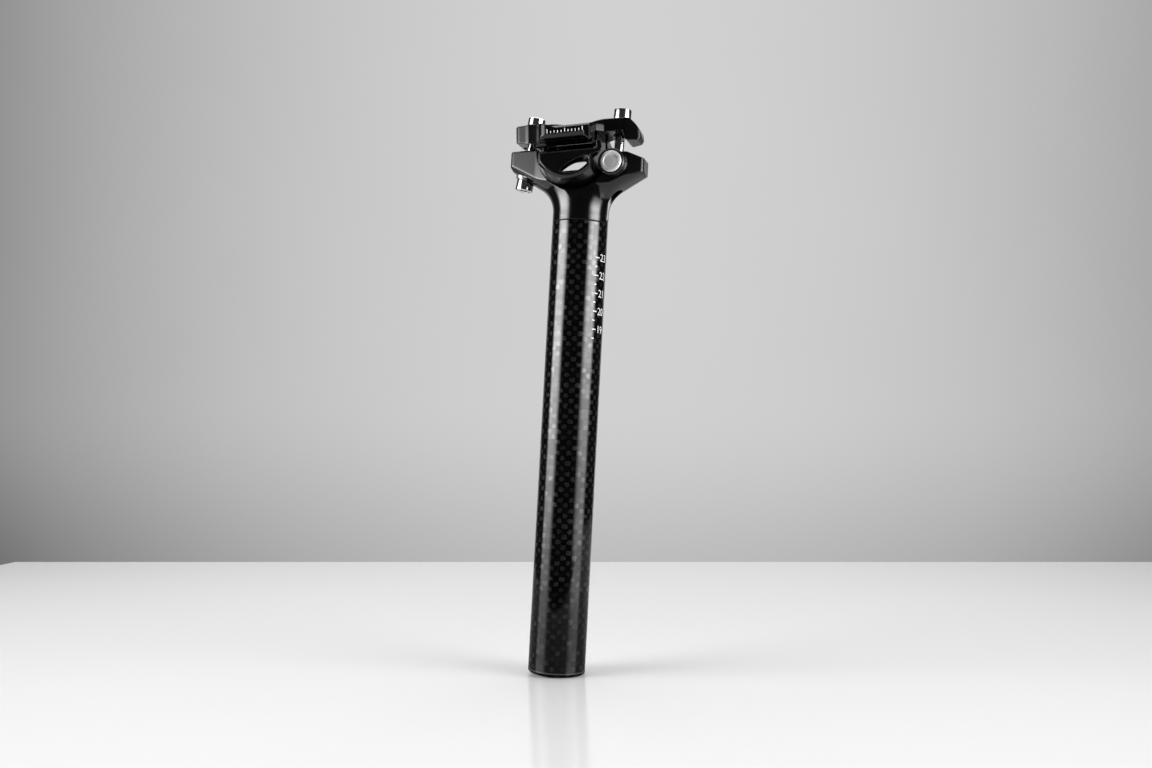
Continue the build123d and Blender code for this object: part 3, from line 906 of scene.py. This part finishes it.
@dataclass
class SocketScrew:
    """A socket-head screw with a cut thread, in place of a plain bolt."""

    name: str
    node: str
    body: Body
    under_head: Vector
    out: Vector
    length: float
    plain: float
    head_r: float = 5.0 * MM
    head_len: float = 6.3 * MM
    rim: float = 0.7 * MM
    shank_r: float = 3.0 * MM
    root_r: float = 2.46 * MM
    pitch: float = 1.0 * MM
    # How deep a tooth's base lies in the core, and its distance from the pitch's ends.
    bite: float = 0.06 * MM
    gap: float = 0.05 * MM
    wind_steps: int = 32
    tip: float = 0.6 * MM
    tip_taper: float = 0.78
    key: float = 5.0 * MM
    key_depth: float = 3.2 * MM
    # How far the countersink reaches past the socket's corners, and its depth.
    mouth: float = 0.25 * MM
    mouth_depth: float = 0.9 * MM
    sides: int = 64
    smooth: float = math.radians(32.0)

    def build(self, finish: Material) -> Object:
        """Model the screw, place it and tie it to its body.

        Args:
            finish: The screw's material.

        Returns:
            The screw.
        """
        screw = join(self.blank(), self.thread())
        clean(screw)
        bpy.ops.object.shade_smooth_by_angle(angle=self.smooth)
        turn = Vector((0.0, 0.0, 1.0)).rotation_difference(self.out).to_matrix().to_4x4()
        settle(screw, Matrix.Translation(self.under_head) @ turn)
        dress(screw, finish)
        hold(screw, self.body)
        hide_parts(self.node)
        return screw

    def blank(self) -> Object:
        """Model the head, the shank and the key's socket, with the head upwards.

        Returns:
            The blank, with the underside of its head at the origin.
        """
        screw = primitive(
            self.name,
            bpy.ops.mesh.primitive_cylinder_add,
            vertices=self.sides,
            radius=self.head_r,
            depth=self.head_len,
            location=(0.0, 0.0, self.head_len / 2.0),
        )
        edit(True)
        self.draw_shank(screw)
        self.round_head(screw)
        edit(False)
        cut(screw, self.hexagon())
        cut(screw, self.countersink())
        return screw

    def draw_shank(self, screw: Object) -> None:
        """Draw the shank out of the head's underside.

        Args:
            screw: The blank, in edit mode.
        """
        facing_down = -0.9
        pick(screw, Part.FACE, lambda face: face.normal.z < facing_down)
        bpy.ops.mesh.inset(thickness=self.head_r - self.shank_r, depth=0.0)
        draw_down(self.plain)
        bpy.ops.mesh.inset(thickness=self.shank_r - self.root_r, depth=0.0)
        draw_down(self.length - self.plain - self.tip)
        draw_down(self.tip)
        bpy.ops.transform.resize(value=(self.tip_taper, self.tip_taper, 1.0))

    def round_head(self, screw: Object) -> None:
        """Round the head's two rims.

        Args:
            screw: The blank, in edit mode.
        """
        near = 0.01 * MM
        inner_r = self.head_r - 0.3 * MM

        def on_rim(edge: BMEdge) -> bool:
            """Say if an edge lies on the head's top or lower rim."""
            first, second = (vertex.co for vertex in edge.verts)
            level = abs(first.z - second.z) < near
            return level and min(first.xy.length, second.xy.length) > inner_r

        pick(screw, Part.EDGE, on_rim)
        bpy.ops.mesh.bevel(offset=self.rim, segments=4, affect="EDGES", profile=0.5)

    def hexagon(self) -> Object:
        """Model the shape of the key's socket.

        Returns:
            The shape to cut away.
        """
        return primitive(
            self.name + "_key",
            bpy.ops.mesh.primitive_cylinder_add,
            vertices=6,
            radius=self.key / math.sqrt(3.0),
            depth=2.0 * self.key_depth,
            location=(0.0, 0.0, self.head_len),
        )

    def countersink(self) -> Object:
        """Model the cone that breaks the socket's mouth at 45 degrees.

        Returns:
            The shape to cut away.
        """
        mouth_r = self.key / math.sqrt(3.0) + self.mouth
        above = 0.3 * MM
        return primitive(
            self.name + "_mouth",
            bpy.ops.mesh.primitive_cone_add,
            vertices=self.sides,
            radius1=mouth_r - self.mouth_depth,
            radius2=mouth_r + above,
            depth=self.mouth_depth + above,
            location=(0.0, 0.0, self.head_len + (above - self.mouth_depth) / 2.0),
        )

    def thread(self) -> Object:
        """Wind the thread from one tooth, whose base lies inside the core.

        Returns:
            The thread, from the tip until it ends inside the plain shank.
        """
        start = self.tip - self.length
        base_r = self.root_r - self.bite
        corners = (
            Vector((self.shank_r, 0.0, start + self.pitch / 2.0)),
            Vector((base_r, 0.0, start + self.gap)),
            Vector((base_r, 0.0, start + self.pitch - self.gap)),
        )
        tooth = primitive(self.name + "_thread", bpy.ops.mesh.primitive_plane_add, size=self.pitch)
        edit(True)
        pick(tooth, Part.POINT, lambda vertex: vertex.index == len(corners))
        bpy.ops.mesh.delete(type="VERT")
        for index, corner in enumerate(corners):
            move_point(tooth, index, corner)
        pick_all()
        bpy.ops.mesh.edge_face_add()
        edit(False)
        shape(
            tooth,
            "SCREW",
            axis="Z",
            angle=math.tau,
            screw_offset=self.pitch,
            iterations=int((self.length - self.plain - self.tip) / self.pitch),
            steps=self.wind_steps,
            render_steps=self.wind_steps,
        )
        edit(True)
        pick_all()
        bpy.ops.mesh.fill_holes(sides=len(corners))
        edit(False)
        return tooth


@dataclass
class HeightScale:
    """Printed ticks and whole centimetres up the back of the tube."""

    tube_r: float = 15.8 * MM
    facets: int = 360
    film: float = 0.03 * MM
    # The ticks are counted from the foot by their step, and some of them carry a number.
    lowest: int = 37
    count: int = 10
    step: float = 5.0 * MM
    per_number: int = 2
    tick: float = 0.6 * MM
    # Places round the tube, in degrees from the back of the post.
    tick_from: float = -37.0
    short_to: float = -31.0
    long_to: float = -27.0
    digits_at: float = -12.0
    digit_size: float = 6.0 * MM
    # How far off the tube a number starts, and the width of a sliver that is merged away.
    clear: float = 2.0 * MM
    sliver: float = 0.02 * MM

    def build(self, ink: Material) -> Object:
        """Print the scale.

        Args:
            ink: The print's material.

        Returns:
            The print.
        """
        marks = []
        for number in range(self.lowest, self.lowest + self.count):
            height = number * self.step
            whole = number % self.per_number == 0
            marks.append(self.stripe(height, self.long_to if whole else self.short_to))
            if whole:
                marks.append(self.digits(height, str(number // self.per_number)))
        scale = join(*marks)
        scale.name = "height_scale"
        shape(scale, "SOLIDIFY", thickness=self.film, offset=0.0)
        clean(scale)
        dress(scale, ink)
        hold(scale, Body.POST)
        return scale

    def stripe(self, height: float, end: float) -> Object:
        """Print one tick, a short band round the tube.

        Args:
            height: The tick's height on the tube.
            end: Where it ends, in degrees from the back of the post.

        Returns:
            The tick, still without thickness.
        """
        band = primitive(
            "tick_%d" % round(height / MM),
            bpy.ops.mesh.primitive_cylinder_add,
            vertices=self.facets,
            radius=self.tube_r + self.film,
            depth=self.tick,
            end_fill_type="NOTHING",
            location=(0.0, 0.0, height),
        )

        def outside(face: BMFace) -> bool:
            """Say if a face is beyond the tick's ends."""
            middle = face.calc_center_median()
            return not self.tick_from < math.degrees(math.atan2(middle.y, middle.x)) < end

        edit(True)
        pick(band, Part.FACE, outside)
        bpy.ops.mesh.delete(type="FACE")
        edit(False)
        return band

    def digits(self, height: float, words: str) -> Object:
        """Print one number and lay it on the tube.

        Args:
            height: The number's height on the tube.
            words: The number.

        Returns:
            The number's mesh, still without thickness.
        """
        bpy.ops.object.select_all(action="DESELECT")
        bpy.ops.object.text_add()
        text = bpy.context.view_layer.objects.active.data
        text.body = words
        text.size = self.digit_size
        text.align_x = "CENTER"
        text.align_y = "CENTER"
        bpy.ops.object.convert(target="MESH")
        number = bpy.context.view_layer.objects.active
        number.name = "digits_" + words
        angle = math.radians(self.digits_at)
        upright = Matrix.Rotation(math.radians(90.0), 4, "X")
        turned = Matrix.Rotation(math.radians(90.0) + angle, 4, "Z")
        reach = self.tube_r + self.clear
        place = Vector((reach * math.cos(angle), reach * math.sin(angle), height))
        settle(number, Matrix.Translation(place) @ turned @ upright)
        edit(True)
        pick_all()
        bpy.ops.mesh.remove_doubles(threshold=self.sliver)
        bpy.ops.mesh.dissolve_degenerate(threshold=self.sliver)
        pick_all()
        bpy.ops.mesh.quads_convert_to_tris()
        bpy.ops.mesh.subdivide(number_cuts=1)
        edit(False)
        shape(
            number,
            "SHRINKWRAP",
            wrap_method="PROJECT",
            use_project_x=True,
            use_positive_direction=False,
            use_negative_direction=True,
            target=frame["nodes"]["carbon_tube"],
            offset=2.0 * self.film,
        )
        return number


@dataclass
class TiltMarks:
    """Printed tilt marks on the near wing of the upper clamp."""

    centre: Vector
    tilt: float
    side: float = -27.0 * MM
    first: float = -10.9 * MM
    step: float = 2.0 * MM
    count: int = 11
    foot: float = 5.9 * MM
    short: float = 1.3 * MM
    tall: float = 2.3 * MM
    tall_every: int = 5
    width: float = 0.5 * MM
    corner: float = 0.1 * MM
    film: float = 0.02 * MM

    def build(self, ink: Material) -> Object:
        """Print the marks.

        Args:
            ink: The print's material.

        Returns:
            The marks.
        """
        marks = join(*(self.mark(number) for number in range(self.count)))
        marks.name = "tilt_marks"
        turn = Matrix.Rotation(-self.tilt, 4, "Y")
        settle(marks, Matrix.Translation(self.centre) @ turn)
        dress(marks, ink)
        hold(marks, Body.CLAMP)
        return marks

    def mark(self, number: int) -> Object:
        """Print one mark.

        Args:
            number: Which mark, from the front.

        Returns:
            The mark, about the clamp's centre.
        """
        tall = self.short if number % self.tall_every else self.tall
        mark = primitive(
            "tilt_mark_%d" % number,
            bpy.ops.mesh.primitive_cube_add,
            size=1.0,
            location=(self.first + number * self.step, self.side, self.foot + tall / 2.0),
            scale=(self.width, 2.0 * self.film, tall),
        )
        edit(True)
        pick(mark, Part.EDGE, lambda edge: abs(edge.verts[0].co.y - edge.verts[1].co.y) > self.film)
        bpy.ops.mesh.bevel(offset=self.corner, segments=2, affect="EDGES")
        edit(False)
        return mark


@dataclass
class Dressing:
    """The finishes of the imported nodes."""

    finishes: dict[Slot, Material]

    def build(self) -> None:
        """Put each node's finish in its material slots."""
        for part in frame["record"]["subparts"]:
            node = frame["nodes"][part["node"]]
            dress(node, self.finishes[Slot(part["material_slot"])])
            LOG.info("node %s: %s", part["node"], part["material_slot"])


@dataclass
class Viewpoint:
    """The photograph's camera, and the level directions of its studio."""

    azimuth: float = math.radians(16.0)
    pitch: float = math.radians(3.0)
    roll: float = math.radians(-3.04)
    lens: float = 33.75
    sensor: float = 36.0
    place: Vector = field(default_factory=lambda: Vector((0.16931, -0.58177, 0.12810)))

    def __post_init__(self) -> None:
        """Work out the camera's and the table's directions."""
        flat = math.cos(self.pitch)
        ahead, aside = math.cos(self.azimuth), math.sin(self.azimuth)
        self.forward = Vector((-aside * flat, ahead * flat, math.sin(self.pitch)))
        right = Vector((ahead, aside, 0.0))
        up = right.cross(self.forward)
        self.right = right * math.cos(self.roll) - up * math.sin(self.roll)
        self.up = up * math.cos(self.roll) + right * math.sin(self.roll)
        self.normal = self.up * math.cos(self.pitch) + self.forward * math.sin(self.pitch)
        self.back = self.forward * math.cos(self.pitch) - self.up * math.sin(self.pitch)

    def build(self) -> None:
        """Set up the camera."""
        data = bpy.data.cameras.new("camera")
        data.lens = self.lens
        data.sensor_width = self.sensor
        data.clip_start = 0.01
        data.clip_end = 20.0
        camera = bpy.data.objects.new("camera", data)
        bpy.context.scene.collection.objects.link(camera)
        axes = Matrix((self.right, self.up, -self.forward)).transposed().to_4x4()
        camera.matrix_world = Matrix.Translation(self.place) @ axes
        bpy.context.scene.camera = camera


@dataclass
class Studio:
    """Table, wall and soft lights, level in the picture while the post leans a little."""

    view: Viewpoint
    # Where the tilted foot touches, from the tube's axis, and its clearance to the table.
    foot_r: float = 15.0 * MM
    clear: float = 0.01 * MM
    # The table's edges, behind the foot and to the right of the camera's line.
    back_edge: float = 0.55
    front_edge: float = -0.26
    left_edge: float = -0.597
    right_edge: float = 0.616
    slab: float = 0.04
    slab_round: float = 2.0 * MM
    wall_at: float = 1.75
    wall_across: Span = (-1.4, 1.4)
    wall_reach: Span = (-1.05, 1.05)
    # Degrees to the right of the camera, seen from the post.
    left_bearing: float = -73.0
    right_bearing: float = 65.0
    key_at: float = 1.15
    key_reach: Span = (-0.12, 1.05)
    over_high: float = 1.5
    over_back: float = 0.7
    over_reach: Span = (-0.8, 0.8)
    room_dim: float = 0.005
    room_pale: float = 0.55
    room_gloss: float = 0.06

    def __post_init__(self) -> None:
        """Find where the foot touches the table."""
        normal = self.view.normal
        lean = Vector((normal.x, normal.y, 0.0))
        self.touch = -lean.normalized() * self.foot_r - normal * self.clear

    def spot(self, right: float, back: float, high: float) -> Vector:
        """Give a place by the picture's level directions.

        Args:
            right: Metres to the right of the camera's line.
            back: Metres behind the foot.
            high: Metres above the table.

        Returns:
            The place.
        """
        view = self.view
        line = view.right * (view.place - self.touch).dot(view.right)
        return self.touch + line + view.right * right + view.back * back + view.normal * high

    def turn(self) -> Matrix:
        """Give the turn from level axes to the studio's."""
        view = self.view
        return Matrix((view.right, view.back, view.normal)).transposed().to_4x4()

    def build(self) -> None:
        """Build the whole studio."""
        self.table()
        self.wall()
        left = SoftboxGlow(
            "key_left", (-0.64, 0.54), soft=(0.46, 0.34), foot=4.3, top=17.0, fade=(0.52, 0.64)
        )
        self.standing(left, self.left_bearing)
        right = SoftboxGlow(
            "key_right", (-0.52, 0.80), soft=(0.40, 0.60), foot=4.7, top=16.8, fade=(0.42, 0.55)
        )
        self.standing(right, self.right_bearing)
        even = 2.0
        over = SoftboxGlow("over", (-0.95, 0.95), soft=(0.2, 0.2), foot=even, top=even, rest=even)
        self.hanging(over)
        self.world()

    def table(self) -> None:
        """Model the table top with softened edges."""
        top = primitive("table", bpy.ops.mesh.primitive_cube_add, size=1.0)
        wide = self.right_edge - self.left_edge
        deep = self.back_edge - self.front_edge
        middle = self.spot(
            (self.right_edge + self.left_edge) / 2.0,
            (self.back_edge + self.front_edge) / 2.0,
            -self.slab / 2.0,
        )
        size = Matrix.Diagonal((wide, deep, self.slab, 1.0))
        settle(top, Matrix.Translation(middle) @ self.turn() @ size)
        edit(True)
        pick_all()
        bpy.ops.mesh.bevel(offset=self.slab_round, segments=3, affect="EDGES")
        edit(False)
        dress(top, GlossTable().build())

    def panel(
        self, name: str, across: Span, reach: Span, place: Matrix, finish: Material
    ) -> Object:
        """Stand a flat panel, whose finish reads the panel's own axes.

        Args:
            name: The panel's name.
            across: Its left and right edge in its own first axis.
            reach: Its lower and upper edge in its own second axis.
            place: Where it is; its front faces along its third axis.
            finish: Its material.

        Returns:
            The panel.
        """
        front = primitive(name, bpy.ops.mesh.primitive_plane_add, size=1.0)
        middle = Matrix.Translation((sum(across) / 2.0, sum(reach) / 2.0, 0.0))
        size = Matrix.Diagonal((across[1] - across[0], reach[1] - reach[0], 1.0, 1.0))
        settle(front, middle @ size)
        front.matrix_world = place
        dress(front, finish)
        return front

    def wall(self) -> None:
        """Hang the grey wall behind the table, centred at the camera's height."""
        high = (self.view.place - self.touch).dot(self.view.normal)
        upright = Matrix.Rotation(math.radians(90.0), 4, "X")
        place = Matrix.Translation(self.spot(0.0, self.wall_at, high)) @ self.turn() @ upright
        self.panel("wall", self.wall_across, self.wall_reach, place, StudioWall().build())

    def light(self, glow: SoftboxGlow, reach: Span, place: Matrix) -> None:
        """Stand a soft light's glowing panel, out of the picture's own sight."""
        front = self.panel(glow.name, glow.across, reach, place, glow.build())
        front.visible_camera = False

    def standing(self, glow: SoftboxGlow, bearing: float) -> None:
        """Stand a soft light beside the camera, its heights counted from the table.

        Args:
            glow: The light's front.
            bearing: Degrees to the right of the camera, seen from the post.
        """
        view = self.view
        angle = math.radians(bearing)
        away = view.right * math.sin(angle) - view.back * math.cos(angle)
        axes = Matrix((view.normal.cross(-away), view.normal, -away)).transposed().to_4x4()
        self.light(glow, self.key_reach, Matrix.Translation(self.touch + away * self.key_at) @ axes)

    def hanging(self, glow: SoftboxGlow) -> None:
        """Hang a wide soft light over the table.

        Args:
            glow: The light's front.
        """
        view = self.view
        axes = Matrix((view.right, -view.back, -view.normal)).transposed().to_4x4()
        middle = self.touch + view.normal * self.over_high + view.back * self.over_back
        self.light(glow, self.over_reach, Matrix.Translation(middle) @ axes)

    def world(self) -> None:
        """Set the room's dim light, pale where the picture sees it."""
        room = bpy.data.worlds.new("room")
        graph = Graph(room)
        shade = graph.blend(graph.seen(self.room_gloss), grey(self.room_dim), grey(self.room_pale))
        graph.close(graph.node("ShaderNodeBackground", None, {"Color": shade}))
        bpy.context.scene.world = room


def joint(name: str) -> dict:
    """Find a joint of the record by its name."""
    return next(entry for entry in frame["record"]["behaviour"]["joints"] if entry["name"] == name)


def mount(name: str) -> dict:
    """Find a mount of the record by its name."""
    return next(entry for entry in frame["record"]["mounts"] if entry["name"] == name)


def screws() -> list[SocketScrew]:
    """Lay out the two screws on their joints' lines.

    Returns:
        The front and the rear screw.
    """
    front_at = Vector(joint("front_bolt_swing")["pos_m"])
    front_up = Vector(joint("front_nut_travel")["axis"]).normalized()
    rear_at = Vector(joint("barrel_turn")["pos_m"])
    rear_up = Vector(joint("rear_bolt_travel")["axis"]).normalized()
    # Distances along a screw's line from its joint: above the joint, but the rear tip is below it.
    front_head = 4.4 * MM
    front_tip = 40.0 * MM
    rear_head = 26.851 * MM
    rear_tip = 9.0 * MM
    plain = 9.0 * MM
    front = SocketScrew(
        name="front_screw_threaded",
        node="front_bolt",
        body=Body.FRONT_SCREW,
        under_head=front_at + front_up * front_head,
        out=-front_up,
        length=front_tip - front_head,
        plain=plain,
    )
    rear = SocketScrew(
        name="rear_screw_threaded",
        node="rear_bolt",
        body=Body.REAR_SCREW,
        under_head=rear_at + rear_up * rear_head,
        out=rear_up,
        length=rear_head + rear_tip,
        plain=plain,
    )
    return [front, rear]


def main() -> None:
    """Build the dressed part and its studio."""
    logging.basicConfig(level=logging.INFO, format="%(message)s")
    bpy.context.scene.view_settings.view_transform = "Standard"
    barrel = joint("barrel_turn")["pos_m"]
    finishes = {
        Slot.CARBON: WovenCarbon().build(),
        Slot.ALLOY: BlackAnodised().build(),
        Slot.STEEL: BrightSteel().build(),
        Slot.CAP: TurnedFace(axis_x=barrel[0], axis_z=barrel[2]).build(),
        Slot.PLAIN: PlainSteel().build(),
        Slot.BUSH: SatinBush().build(),
    }
    Dressing(finishes).build()
    for screw in screws():
        screw.build(finishes[Slot.STEEL])
    ink = WhitePrint().build()
    HeightScale().build(ink)
    rail = mount("left_rail")["axis"]
    tilt_at = Vector(joint("saddle_tilt")["pos_m"])
    TiltMarks(centre=tilt_at, tilt=math.atan2(rail[2], rail[0])).build(ink)
    view = Viewpoint()
    view.build()
    Studio(view).build()


if __name__ == "__main__":
    main()
